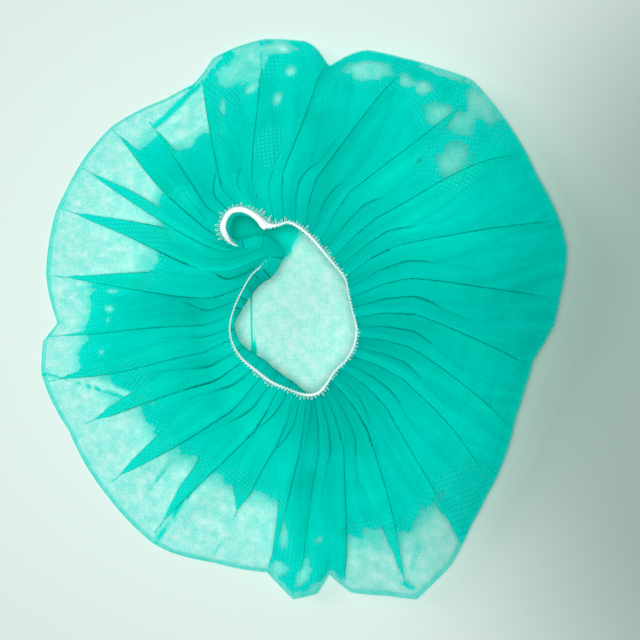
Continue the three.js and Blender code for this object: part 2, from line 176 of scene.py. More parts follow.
# The main pleats, anticlockwise from the cap's back: rim is the pleat's angle at the rim in
# degrees, lift is a share of RIM_LIFT there, tip is the share of the way to the rim at which
# it opens flat, split is the tip of the lesser pleat that follows it, and dense is the share
# of the way up to which the cloth after it is packed in fine gathers and lets no light through,
# above 1 where it is packed deep at the rim too. The deeper the packed cloth lies, the darker
# its colour: partly for its thickness and partly as painted shade on the puffed side.
PLEAT_COLUMNS = ("rim", "lift", "tip", "split", "dense")
PLEATS = [
    (98, 0.2, 0.94, 0.55, 0.97),
    (112, 0.1, 1.05, 0.50, 0.58),
    (127, 0.04, 0.90, 0.62, 0.78),
    (134.5, 0.02, 1.02, 0.40, 0.47),
    (145, 0.01, 1.0, 0.42, 0.44),
    (155, 0, 1.0, 0.42, 0.50),
    (170, 0, 1.1, 0.50, 0.78),
    (184, 0, 1.1, 0.45, 0.80),
    (194, 0, 1.0, 0.52, 0.68),
    (206, 0, 0.9, 0.44, 0.59),
    (221, 0.02, 0.95, 0.50, 0.55),
    (236, 0.05, 0.97, 0.42, 0.54),
    (250, 0.12, 0.72, 0.50, 0.56),
    (263, 0.25, 1.05, 0.40, 0.97),
    (270, 0.29, 1.02, 0.62, 0.97),
    (280, 0.35, 1.05, 0.60, 0.70),
    (292, 0.41, 1.05, 0.48, 0.73),
    (306, 0.57, 0.95, 0.62, 1.35),
    (320, 0.8, 1.0, 0.66, 1.35),
    (334, 0.95, 1.0, 0.7, 1.35),
    (349, 0.98, 1.05, 0.7, 1.35),
    (365, 1.0, 1.0, 0.7, 1.35),
    (381, 1.0, 1.05, 0.66, 1.35),
    (397, 0.84, 1.0, 0.62, 1.35),
    (412, 0.64, 0.95, 0.55, 1.35),
    (427, 0.47, 0.95, 0.58, 1.35),
    (444, 0.31, 1.1, 0.55, 1.0),
]
pleats = dict(zip(PLEAT_COLUMNS, np.array(PLEATS, float).T))
PLEAT_COUNT = len(PLEATS)

# Places of the upper layer where the gathers part and light comes through: x and y are shares
# of the rim's radius, long and wide are half lengths in millimetres, and turn is in degrees.
PATCH_COLUMNS = ("x", "y", "long", "wide", "turn")
THIN_PATCHES = [
    (-0.415, 0.451, 1.9, 1.6, 0), (-0.703, 0.107, 3.9, 1.5, -10),
    (-0.719, 0.038, 2.5, 2.5, 0), (-0.722, -0.007, 2.5, 1.7, 90),
    (-0.749, -0.125, 2, 1.7, 40), (-0.768, -0.205, 5.1, 3.9, -20),
    (-0.674, -0.273, 17.9, 2.2, -19), (-0.163, -0.739, 2.5, 1.4, 0),
    (-0.071, -0.763, 19, 3.4, -74), (-0.064, -0.943, 6.2, 5, -30),
    (0.08, -0.819, 2.8, 1.9, 40), (0.019, -0.962, 9, 3.4, 70),
    (0.398, 0.885, 6, 3.3, -70), (0.467, 0.86, 4.9, 4.4, 0),
    (0.548, 0.918, 14.8, 2.7, -22), (0.435, 0.577, 2.1, 1.3, 50),
    (-0.285, 0.768, 11, 1.8, 88), (-0.175, 0.863, 5, 2.2, 38),
    (-0.076, 0.814, 5.5, 2.2, 80), (-0.025, 0.931, 3.3, 2.5, 50),
    (-0.075, 1.027, 13.4, 3.4, -3),
]

# Wider places where the cloth is thin but hazy, and places that stay packed and show only their
# bond points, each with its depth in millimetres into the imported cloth, which is below 0 outside.
HAZY_DEPTH = -5
HAZY_PATCHES = [
    (0.521, -0.924, 11.1, 5, 45), (0.274, 0.924, 13.3, 6.6, -5),
    (0.689, 0.79, 14.2, 7.1, -48), (0.553, 0.74, 14.1, 7.6, -35),
    (0.564, 0.575, 10.8, 8.6, 70), (-0.211, 0.941, 16.8, 9.5, 35),
]
DOTTED_DEPTH = 3.5
DOTTED_PATCHES = [
    (-0.624, -0.229, 7.2, 5.6, 80), (0.076, -0.97, 5, 3.9, 60),
    (0.562, -0.71, 19.6, 10.9, 62), (-0.106, 0.632, 7.6, 4.3, 75),
]

PATCH_EDGE = 9  # least half width in millimetres over which a patch's edge fades
RIM_SHADE = 0.4  # how folded the cloth seems where it is seen on edge as it turns over

# Narrow folds that cross the thin cloth of the upper layer, in the same columns.
UPPER_FOLDS = [
    (-0.454, 0.822, 21.5, 1.5, 44), (-0.277, 0.99, 13.5, 1.3, 42),
    (-0.765, -0.267, 29, 0.5, -16), (-0.495, -0.552, 15, 0.9, 53),
    (-0.437, -0.694, 23, 1.4, 56), (0.412, -0.998, 5.6, 0.8, -28),
    (0.436, -0.885, 7.2, 1, 75), (0.579, 0.665, 10.4, 0.8, 0),
    (0.566, 0.84, 13.3, 2.8, 28),
]

# Places where the floor layer is folded on itself: a wide fold under the mouth's lobe, and one
# narrow crease across the mouth's left, which widens at both ends.
FLOOR_PATCHES = [
    (-0.205, 0.36, 32, 29, 30), (-0.18, -0.01, 24, 0.5, 91),
    (-0.187, 0.14, 9, 1.2, 96), (-0.173, -0.15, 10, 1.7, 86),
]

FLOOR_FOLD_DEPTH = 3  # depth into the folded cloth for each millimetre in from its edge

# The floor layer's section: out is a share of the rim's radius, lift a share of the rim's lift.
FLOOR_COLUMNS = ("out", "lift")
FLOOR_SECTION = [
    (0.58, 0), (0.66, 0.04), (0.74, 0.12), (0.81, 0.27), (0.87, 0.46), (0.92, 0.66),
    (0.96, 0.84), (0.985, 0.95),
]
floor_section = dict(zip(FLOOR_COLUMNS, np.array(FLOOR_SECTION).T))
# Its rows, as shares of the rim's radius, close together where the narrow crease crosses them.
floor_out = np.concatenate([np.linspace(0.02, 0.16, 5), np.arange(0.17, 0.24, 0.0035),
                            np.linspace(0.25, 0.92, 14), [0.96, 0.985]])

# The upper layer's section, from rim to mouth: way is the share of the way from mouth to
# rim, flat and puffed are shares of the rise from rim to mouth on the low side and on the
# puffed side, and the two folds are the pleats' height there in millimetres.
SECTION_COLUMNS = ("way", "flat", "puffed", "flat_fold", "puffed_fold")
SECTION = [
    (1.0, 0, 0, 0.5, 0.5),
    (0.95, 0.02, 0.3, 0.5, 0.6),
    (0.87, 0.06, 0.66, 0.6, 0.7),
    (0.77, 0.13, 1.0, 0.7, 0.8),
    (0.66, 0.24, 1.28, 0.8, 0.9),
    (0.55, 0.38, 1.46, 0.8, 0.9),
    (0.44, 0.54, 1.52, 0.8, 0.9),
    (0.34, 0.69, 1.48, 0.8, 0.9),
    (0.25, 0.82, 1.38, 0.9, 0.9),
    (0.17, 0.92, 1.25, 1.0, 0.9),
    (0.1, 0.99, 1.12, 1.1, 1.0),
    (0.04, 1.01, 1.03, 1.1, 1.0),
    (0, 1.0, 1.0, 1.1, 1.1),
]
section = dict(zip(SECTION_COLUMNS, np.array(SECTION, float).T[:, ::-1]))

GRID_COLUMNS = 104
GRID_ROWS = 20
RELAX_PASSES = 500
RIM_ROWS = 5
UPPER_ROWS = 52
ROLL_ROWS = 9
BACK_STEPS = 5
FORWARD_STEPS = 7
SPLIT_PLACE = 0.63  # share of a pleat's cloth before its lesser pleat
LEAST_BACK = 0.1  # share of a pleat's cloth that its back's nodes keep where it lies flat
MOST_FULLNESS = 3.4  # lengths of cloth modelled over one length of the line it lies on
HEM_FULLNESS = 2.6  # the same at the mouth
OPENING_WAY = 0.14  # share of the way over which a main pleat opens out
LINE_SAMPLES = 9
HALVINGS = 40
SPLIT_WAY = 0.4  # share of the way over which a lesser pleat opens out
TOP_WANDER = 0.12  # how far a pleat's top fold wanders, as a share of the pleat's width
ROLL_DROP = 2.0 * mm  # how far the cloth dips under the elastic before it bulges inwards
ROLL_SHARE = 0.8  # share of the bulge by which it dips further
ROLL_LEAN = 150  # degrees by which the pleats turn over as they go round the roll
ROLL_FLATTENS = 0.75  # share of the pleats' size, and again of their height, lost round it
ROLL_CLOTH = 3 * mm  # length of cloth that the roll takes up
ROLL_DEPTH = 25  # millimetres by which the roll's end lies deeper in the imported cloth
TUCKED_RISE = 2.4 * mm  # how far the cloth stands over the elastic where that is tucked in
HEM_PAST = 0.2 * mm  # how far the cut edge passes the elastic's middle, and more where tucked
HEM_PAST_TUCKED = 2.4 * mm
HEM_DROP = 1.3 * mm  # how far the cut edge ends under the elastic, and over it where tucked
HEM_RISE_TUCKED = 1.9 * mm
DENT_DEPTH = 2.2 * mm
DENT_LENGTH = 30 * mm
WRINKLE_DEPTH = 2.1 * mm
WRINKLE_LENGTH = 42 * mm
MEAN_CRUMPLE = 0.6
turn = 2 * np.pi
pleat_random = np.random.default_rng(21)


def rim_share(angle):
    """The rim's share of its radius at an angle: straight runs between the outline's corners."""
    return np.interp(np.degrees(angle), outline["angle"], outline["out"], period=360)


def rim_lift(angle):
    """The rim's height above the floor layer, read between the pleats."""
    return RIM_LIFT * np.interp(np.degrees(angle), pleats["rim"], pleats["lift"], period=360)


def rim_turn(angle):
    """The radius at which the cloth turns over: a sharp fold where it lies flat."""
    puff = rim_lift(angle) / RIM_LIFT
    return RIM_TURN_FLAT + (RIM_TURN_PUFFED - RIM_TURN_FLAT) * puff


def level_direction(angle):
    """The level unit vector at an angle."""
    return np.stack([np.cos(angle), np.sin(angle)], axis=-1)


def eased(line, passes):
    """A closed line averaged with its own neighbours, pass after pass."""
    for _ in range(passes):
        line = line / 2 + (np.roll(line, 1, 0) + np.roll(line, -1, 0)) / 4
    return line


def nested_lines(mouth_line, rim_line):
    """Closed lines from the mouth to the rim that never cross: blends of the two, relaxed by
    the elliptic grid equations until each point is the weighted mean of those about it."""
    lines = []
    soft = mouth_line
    for row in range(GRID_ROWS + 1):
        lines.append(soft + (rim_line - soft) * row / GRID_ROWS)
        soft = eased(soft, 2 * row + 1)
    lines = np.array(lines)
    for _ in range(RELAX_PASSES):
        east, west = np.roll(lines, -1, 1), np.roll(lines, 1, 1)
        around = (east - west)[1:-1]
        across = lines[2:] - lines[:-2]
        alpha = (across**2).sum(-1, keepdims=True)
        gamma = (around**2).sum(-1, keepdims=True)
        beta = (around * across).sum(-1, keepdims=True)
        twist = east[2:] - west[2:] - east[:-2] + west[:-2]
        total = alpha * (east + west)[1:-1] + gamma * (lines[2:] + lines[:-2]) - beta * twist / 2
        lines[1:-1] = total / (2 * (alpha + gamma))
    return lines


def evenly_spaced(lines):
    """The same lines moved along their columns until the rows are an even distance apart."""
    steps = np.linalg.norm(np.diff(lines, axis=0), axis=-1)
    reach = np.vstack([np.zeros(lines.shape[1]), np.cumsum(steps, axis=0)])
    share = reach / reach[-1]
    even = np.linspace(0, 1, len(lines))
    columns = [
        np.stack([np.interp(even, share[:, i], lines[:, i, k]) for k in (0, 1)], axis=-1)
        for i in range(lines.shape[1])
    ]
    return np.stack(columns, axis=1)


grid_angles = np.arange(GRID_COLUMNS) * turn / GRID_COLUMNS
grid_route = closed_curve(route_points, route_row(np.degrees(grid_angles)))
grid_outward = outward_of(tangents(grid_route))
soft_rim = eased(rim_share(grid_angles), 6)
cap_grid = evenly_spaced(nested_lines(
    (grid_route + HEM_OUT * grid_outward)[:, :2],
    level_direction(grid_angles) * (soft_rim * RIM_RADIUS - rim_turn(grid_angles))[:, None],
))


def cap_plan(angle, way):
    """The level place of a rim angle's column at a share of the way from mouth to rim: the
    nested lines read by a spline round the cap and straight across it, with the rim's own
    corners brought in over the last fifth of the way."""
    columns = angle / turn * GRID_COLUMNS
    base = np.floor(columns).astype(int)
    rows = np.clip(way, 0, 1) * GRID_ROWS
    lower = np.minimum(np.floor(rows).astype(int), GRID_ROWS - 1)
    inner, outer = (
        spline(lambda step: cap_grid[row, (base + step) % GRID_COLUMNS], (columns - base)[..., None])
        for row in (lower, lower + 1)
    )
    plan = inner + (outer - inner) * (rows - lower)[..., None]
    corner = rim_share(angle) - closed_curve(soft_rim, columns)
    reached = np.clip((way - 0.8) / 0.2, 0, 1)
    return plan + level_direction(angle) * (corner * reached * RIM_RADIUS)[..., None]


def smooth(x):
    """A step from 0 to 1 with level ends, three squares less two cubes."""
    x = np.clip(x, 0, 1)
    return x * x * (3 - 2 * x)


def section_at(way, name):
    """One column of the upper layer's section, read at a share of the way."""
    return np.interp(way, section["way"], section[name])


# One entry for each row of the upper layer, from the rim in, and then round the roll.
upper_way = 1 - np.linspace(0.012, 1, UPPER_ROWS) ** 0.95
row_way = np.append(upper_way, np.zeros(ROLL_ROWS))
row_roll = np.append(np.zeros(UPPER_ROWS), np.linspace(0, 1, ROLL_ROWS + 1)[1:])
row_ease = 1 - ROLL_FLATTENS * row_roll
row_fullness = np.interp(row_way, [0, 0.14], [HEM_FULLNESS, MOST_FULLNESS]) * (1 - row_roll / 8)
row_count = len(row_way)

pleat_angle = np.radians(pleats["rim"])
next_angle = np.append(pleat_angle[1:], pleat_angle[0] + turn)
pleat_step = next_angle - pleat_angle


def line_length(way, start, end):
    """The length of the nested lines between two columns, one number for each row and pleat."""
    shares = np.linspace(0, 1, LINE_SAMPLES)[:, None, None] * np.ones(way.shape)
    places = cap_plan(start + (end - start) * shares, way * np.ones(shares.shape))
    return np.linalg.norm(np.diff(places, axis=0), axis=-1).sum(axis=0)


way = row_way[:, None] * np.ones(PLEAT_COUNT)
on_line = line_length(way, pleat_angle, next_angle)
rim_radius = RIM_RADIUS * rim_share(pleat_angle + pleat_step / 2)
cut_radius = rim_radius + (CUT_RADIUS - rim_radius) * (1 - way)
fullness = cut_radius * pleat_step / on_line
opened = np.clip((pleats["tip"] - way) / OPENING_WAY, 0, 1)
modelled = 1 + (np.clip(fullness, 1, row_fullness[:, None]) - 1) * opened
cloth = modelled * on_line
lift_share = rim_lift(pleat_angle + pleat_step / 2) / RIM_LIFT
fold = mm * row_ease[:, None] * (section_at(way, "flat_fold") * (1 - lift_share)
                                 + section_at(way, "puffed_fold") * lift_share)
fold = np.minimum(fold, 0.8 * (cloth - on_line))
fold = np.minimum(fold, 0.45 * np.sqrt(np.maximum(cloth**2 - on_line**2, 0)))

# The top folds: each stands over the middle of the cloth that it takes up, and wanders a little.
metre_per_angle = on_line / pleat_step
wander = pleat_random.uniform(-1, 1, (2, PLEAT_COUNT))
wander = wander[0] * np.sin(4 * way + 5 * wander[1]) * np.sin(np.pi * way)
top_angle = pleat_angle + (0.25 * (cloth - on_line) + TOP_WANDER * wander * on_line) / metre_per_angle
next_top = np.hstack([top_angle[:, 1:], top_angle[:, :1] + turn])
apart = (next_top - top_angle) * metre_per_angle
crest = fold / 2
next_crest = np.hstack([crest[:, 1:], crest[:, :1]])
zero = np.zeros_like(apart)


def fold_line(left, right, bottom, length):
    """A pleat's lower fold: its place along the line so that the cloth from the left top fold
    down to it and up to the right one has its right length, found by halving."""
    near = left[0]
    far = near - length
    for _ in range(HALVINGS):
        middle = (near + far) / 2
        total = (np.hypot(middle - left[0], left[1] - bottom)
                 + np.hypot(right[0] - middle, right[1] - bottom))
        near = np.where(total < length, middle, near)
        far = np.where(total < length, far, middle)
    return near


# A lesser pleat opens out of each main one's long face on the way to the mouth.
main_cloth = SPLIT_PLACE * cloth
lesser_cloth = cloth - main_cloth
closed_low = fold_line((zero, crest), (apart, next_crest), -crest, cloth)
long_face = np.hypot(apart - closed_low, next_crest + crest)
back = np.clip(lesser_cloth / long_face, 0, 1)
on_face = (apart + (closed_low - apart) * back, next_crest - (next_crest + crest) * back)
split = smooth((pleats["split"] - way) / SPLIT_WAY)
split_top = (on_face[0] + (apart / 2 - on_face[0]) * split,
             on_face[1] + (crest - on_face[1]) * split)
split_bottom = on_face[1] + (-crest - on_face[1]) * split
main_low = fold_line((zero, crest), split_top, -crest, main_cloth)
lesser_low = fold_line(split_top, (apart, next_crest), split_bottom, lesser_cloth)
main_back = np.hypot(main_low, 2 * crest)
lesser_back = np.hypot(lesser_low - split_top[0], split_top[1] - split_bottom)

# Each pleat's section has five corners, and the mesh has nodes between them.
corner_place = np.stack([zero, main_low, split_top[0], lesser_low, apart], axis=-1)
corner_height = np.stack([crest, -crest, split_top[1], split_bottom, next_crest], axis=-1)
corner_cloth = np.stack([zero, main_back, main_cloth, main_cloth + lesser_back, cloth], axis=-1)
node_cloth = corner_cloth.copy()
node_cloth[..., 1] = np.maximum(main_back, LEAST_BACK * cloth)
node_cloth[..., 3] = main_cloth + np.maximum(lesser_back, LEAST_BACK * lesser_cloth)
spans = []
for corner, steps in enumerate((BACK_STEPS, FORWARD_STEPS) * 2):
    even = np.arange(steps) / steps
    share = 0.6 * even + 0.4 * (1 - np.cos(np.pi * even)) / 2
    start, end = node_cloth[..., corner, None], node_cloth[..., corner + 1, None]
    spans.append(start + (end - start) * share)
along = np.concatenate(spans, axis=-1)
segment = (along[..., None] >= corner_cloth[..., None, 1:4]).sum(axis=-1)


def at_corner(values, extra=0):
    """A corner's value for each node: of the corner before it, or of the one after."""
    return np.take_along_axis(values, segment + extra, axis=-1)


share = (along - at_corner(corner_cloth)) / np.maximum(
    at_corner(corner_cloth, 1) - at_corner(corner_cloth), 1e-9)
share = np.clip(share, 0, 1)
place = at_corner(corner_place) * (1 - share) + at_corner(corner_place, 1) * share
height = at_corner(corner_height) * (1 - share) + at_corner(corner_height, 1) * share
nodes_per_pleat = along.shape[-1]
column_count = PLEAT_COUNT * nodes_per_pleat
node_angle = (top_angle[..., None] + place / metre_per_angle[..., None]).reshape(row_count, -1)
node_height = height.reshape(row_count, -1)
cloth_angle = (pleat_angle[:, None] + along / cloth[..., None] * pleat_step[:, None])
cloth_angle = cloth_angle.reshape(row_count, -1)


def crumple(plan, longest, waves):
    """Shallow dents: the mean of many ridges, each one less the size of a sine across the plan,
    in every direction and from the longest wave down to a third of it. From 0 to about 1."""
    rng = np.random.default_rng(waves)
    total = np.zeros(plan.shape[:-1])
    for _ in range(waves):
        direction, phase, size = rng.uniform(0, 1, 3)
        wave = turn / (longest * (1 - 0.66 * size))
        toward = level_direction(turn * direction)
        total += np.abs(np.sin((plan @ toward) * wave / 2 + turn * phase))
    return total / waves


def upper_layer():
    """The points of the upper layer and its roll: the nested lines' plan, at the height of the
    section, with the pleats standing off it and the roll carried round under the elastic."""
    way = row_way[:, None] * np.ones(column_count)
    roll = row_roll[:, None] * np.ones(column_count)
    rows = route_row(np.degrees(node_angle))
    ring = closed_curve(route_points, rows)
    out = unit(closed_curve(grid_outward, node_angle / turn * GRID_COLUMNS))
    bulge = closed_curve(mouth["roll"], rows) * mm
    tuck = np.clip(closed_curve(mouth["tuck"], rows), 0, 1)
    drop = (ROLL_DROP + ROLL_SHARE * bulge) * (1 - tuck) - TUCKED_RISE * tuck
    puff = rim_lift(node_angle) / RIM_LIFT
    rim_top = FLOOR_GAP + 2 * rim_turn(node_angle) + rim_lift(node_angle)
    rise = section_at(way, "flat") * (1 - puff) + section_at(way, "puffed") * puff
    level = rim_top + (ring[..., 2] - drop - rim_top) * rise
    plan = cap_plan(node_angle, way)
    dents = crumple(plan, DENT_LENGTH, 14) - MEAN_CRUMPLE
    level = level + DENT_DEPTH * smooth((1 - way) / 0.15) * dents
    hem_end = -HEM_PAST - HEM_PAST_TUCKED * tuck
    inward = (HEM_OUT - hem_end) * roll + bulge * np.sin(np.pi * roll)
    end_drop = HEM_DROP * (1 - tuck) - HEM_RISE_TUCKED * tuck
    level = level + (drop - end_drop) * roll
    lean = np.radians(ROLL_LEAN) * roll
    stand = node_height * (1 - ROLL_FLATTENS * roll)
    points = np.concatenate([plan, level[..., None]], axis=-1)
    points = points - out * inward[..., None]
    points = points + out * (np.sin(lean) * stand)[..., None]
    points[..., 2] += np.cos(lean) * stand
    return (points * 2 + np.roll(points, 1, 1) + np.roll(points, -1, 1)) / 4


rim_nodes = node_angle[0]
rim_level = FLOOR_GAP + rim_turn(rim_nodes) + rim_lift(rim_nodes)
rim_out = RIM_RADIUS * rim_share(rim_nodes)


def floor_layer():
    """The points of the floor layer: the rim's outline drawn in towards the cap's middle."""
    lift = np.interp(floor_out, floor_section["out"], floor_section["lift"])
    plan = level_direction(rim_nodes) * (rim_out * floor_out[:, None])[..., None]
    level = FLOOR_GAP + lift[:, None] * rim_lift(rim_nodes)
    wrinkle = WRINKLE_DEPTH * np.maximum(crumple(plan, WRINKLE_LENGTH, 12) - MEAN_CRUMPLE, 0)
    return np.concatenate([plan, (level + wrinkle)[..., None]], axis=-1)


def rim_fold():
    """The points where the cloth turns over at the rim: a part of a circle in each column."""
    turned = np.radians(np.linspace(-66, 66, RIM_ROWS))[:, None]
    radius = rim_turn(rim_nodes)
    plan = level_direction(rim_nodes) * (rim_out - radius * (1 - np.cos(turned)))[..., None]
    level = rim_level + radius * np.sin(turned)
    return np.concatenate([plan, level[..., None]], axis=-1)


def patch_depth(plan, patches):
    """How far each place lies outside the nearest patch, in millimetres: an ellipse's radius
    less one, times its half width. A narrow patch counts as PATCH_EDGE wide, so that its edge
    is cleaner."""
    depth = np.full(plan.shape[:-1], 99.0)
    for x, y, half_long, half_wide, degrees in patches:
        lengthwise = level_direction(np.radians(degrees))
        crosswise = np.array([-lengthwise[1], lengthwise[0]])
        from_middle = (plan - np.array([x, y]) * RIM_RADIUS) / mm
        radius = np.hypot(from_middle @ lengthwise / half_long, from_middle @ crosswise / half_wide)
        depth = np.minimum(depth, (radius - 1) * max(half_wide, PATCH_EDGE))
    return depth


def placed(name, data):
    """A new object in the scene with this data."""
    piece = bpy.data.objects.new(name, data)
    bpy.context.scene.collection.objects.link(piece)
    return piece


def smooth_mesh(name, points, faces):
    """A mesh whose faces are shaded smooth."""
    mesh = bpy.data.meshes.new(name)
    mesh.from_pydata(points, [], faces)
    mesh.polygons.foreach_set("use_smooth", np.ones(len(mesh.polygons), bool))
    mesh.update()
    return mesh


def sheet_object(name, points, flat, folded, dense):
    """A sheet's mesh: a middle point and closed rows, with its cut's flat plan as the UV map.
    folded has one value for each quad and dense one for each of its corners."""
    row_total, columns = points.shape[:2]
    vertices = np.vstack([[0, 0, FLOOR_GAP], points.reshape(-1, 3)])
    index = 1 + np.arange(row_total * columns).reshape(row_total, columns)
    after = np.roll(index, -1, 1)
    quads = np.stack([index[:-1], after[:-1], after[1:], index[1:]], axis=-1).reshape(-1, 4)
    fan = np.stack([np.zeros(columns, int), after[0], index[0]], axis=-1)
    mesh = smooth_mesh(name, vertices, fan.tolist() + quads.tolist())
    corners = np.empty(len(mesh.loops), int)
    mesh.loops.foreach_get("vertex_index", corners)
    cut = np.vstack([[0, 0], flat.reshape(-1, 2)])
    mesh.uv_layers.new(name="cut").data.foreach_set("uv", cut[corners].ravel())
    fold_shade = mesh.attributes.new("folded", "FLOAT", "FACE")
    fold_shade.data.foreach_set("value", np.append(np.zeros(columns), folded.ravel()))
    dense_shade = mesh.attributes.new("dense", "FLOAT", "CORNER")
    dense_shade.data.foreach_set("value", np.append(np.full(3 * columns, -20.0), dense.ravel()))
    return placed(name, mesh)


cap_points = np.concatenate([floor_layer(), rim_fold(), upper_layer()])
lower_count = len(floor_out) + RIM_ROWS
lower_radius = rim_out * np.append(floor_out, np.ones(RIM_ROWS))[:, None]
upper_radius = rim_out + (CUT_RADIUS - rim_out) * (1 - row_way[:, None])
upper_radius = upper_radius + ROLL_CLOTH * row_roll[:, None]
flat_radius = np.concatenate([lower_radius, upper_radius])
flat_angle = np.concatenate([np.tile(cloth_angle[0], (lower_count, 1)), cloth_angle])
cap_flat = level_direction(flat_angle) * flat_radius[..., None]

# The share of each face that lies under the pleat next to it, where the cloth is three layers
# deep: how much of its stretch of cloth is a pleat's back.
face_end = np.concatenate([along[..., 1:], cloth[..., None]], axis=-1)


def share_within(start, end):
    """The share of each face's cloth that lies between two lengths along the pleat's cloth."""
    inside = np.minimum(face_end, end[..., None]) - np.maximum(along, start[..., None])
    return np.clip(inside / np.maximum(face_end - along, 1e-9), 0, 1)


folded = np.maximum(share_within(zero, main_back),
                    share_within(main_cloth, main_cloth + lesser_back)).reshape(row_count, -1)
folded = np.concatenate([np.zeros((lower_count - 1, column_count)), folded])
folded[len(floor_out):lower_count] = RIM_SHADE

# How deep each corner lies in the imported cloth, in millimetres, below 0 where it is thin.
facet_dense = np.repeat(pleats["dense"], nodes_per_pleat)
upper_depth = (facet_dense - row_way[:, None]) * (CUT_RADIUS - RIM_RADIUS) / mm
upper_depth = upper_depth + ROLL_DEPTH * row_roll[:, None]
upper_plan = cap_points[lower_count:, :, :2]
patch = np.minimum.reduce([
    patch_depth(upper_plan, THIN_PATCHES),
    np.maximum(patch_depth(upper_plan, HAZY_PATCHES), HAZY_DEPTH),
    np.maximum(patch_depth(upper_plan, DOTTED_PATCHES), DOTTED_DEPTH),
])
crossing = -patch_depth(upper_plan, UPPER_FOLDS)
floor_depth = -FLOOR_FOLD_DEPTH * patch_depth(cap_points[:lower_count, :, :2], FLOOR_PATCHES)


def quad_corners(rows):
    """The values at the four corners of each quad between neighbouring rows, in its points' order."""
    after = np.roll(rows, -1, -1)
    return np.stack([rows[:-1], after[:-1], after[1:], rows[1:]], axis=-1)


# A facet's own depth is the same on both sides of each quad, so that it ends sharply at a fold.
facet_depth = np.repeat(np.stack([upper_depth[:-1], upper_depth[1:]], axis=-1), 2, axis=-1)
upper_dense = np.minimum(facet_depth, quad_corners(patch))
upper_dense = np.maximum(upper_dense, quad_corners(crossing))
rim_dense = np.repeat(upper_dense[:1, :, :1], 4, axis=-1)
dense = np.concatenate([quad_corners(floor_depth), rim_dense, upper_dense])

cap_cloth = sheet_object("cap_cloth", cap_points, cap_flat, folded, dense)

# The cloth's finish: a thin web of teal fibres, cloudy where they lie thicker, with a grid of
# small melted bond points. One layer lets most light through, and gathered cloth hardly any.

BOND_PITCH = 2.3 * mm
CLOUD_SIZE = 7 * mm
FIBRE_SIZE = 1.4 * mm
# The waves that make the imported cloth's edge ragged: size, and reach in millimetres.
EDGE_WAVES = ((15 * mm, 4.0), (3.2 * mm, 1.2))
GATHERS_SIZE = 0.035  # the gathers' width, as a share of their distance from the cap's middle
FLAT_COVER = 0.09  # share of the light that one layer of the flat cloth scatters
PACKED_COVER = 0.83
WEB_COLOUR = (0.03, 0.97, 0.9, 1)
PACKED_COLOUR = (0.0, 0.88, 0.76, 1)
THIN_FILTER = (0.975, 1.0, 1.0, 1)
THICK_FILTER = (0.83, 0.985, 0.97, 1)
PACKED_FILTER = (0.01, 0.92, 0.83, 1)


def shader(name):
    """A new material with an empty tree."""
    material = bpy.data.materials.new(name)
    material.use_nodes = True
    material.node_tree.nodes.clear()
    return material, material.node_tree


def node(tree, kind, inputs=(), **settings):
    """A shader node with its settings, and its inputs given a value or linked from a socket."""
    made = tree.nodes.new("ShaderNode" + kind)
    for key, value in settings.items():
        setattr(made, key, value)
    for key, value in dict(inputs).items():
        if isinstance(value, bpy.types.NodeSocket):
            tree.links.new(value, made.inputs[key])
        else:
            made.inputs[key].default_value = value
    return made


def arithmetic(tree, operation, first, second, clamp=False):
    """The result of one sum on two numbers or sockets."""
    made = node(tree, "Math", {0: first, 1: second}, operation=operation, use_clamp=clamp)
    return made.outputs[0]


def product(tree, first, second):
    """Two numbers or sockets multiplied."""
    return arithmetic(tree, "MULTIPLY", first, second)


def remapped(tree, value, low, high, to_low=0.0, to_high=1.0):
    """A number moved from one range to another, and held within it."""
    made = node(tree, "MapRange", {"Value": value, "From Min": low, "From Max": high,
                                   "To Min": to_low, "To Max": to_high})
    return made.outputs["Result"]


def mixed(tree, share, first, second):
    """A mix of two colours, by the second one's share."""
    made = node(tree, "Mix", {0: share, 6: first, 7: second}, data_type="RGBA")
    return made.outputs[2]


def noise(tree, vector, size, detail, roughness):
    """Cloudy noise whose patches are about size across, from 0 to 1."""
    made = node(tree, "TexNoise", {"Vector": vector, "Scale": 1 / size, "Detail": detail,
                                   "Roughness": roughness})
    return made.outputs["Fac"]


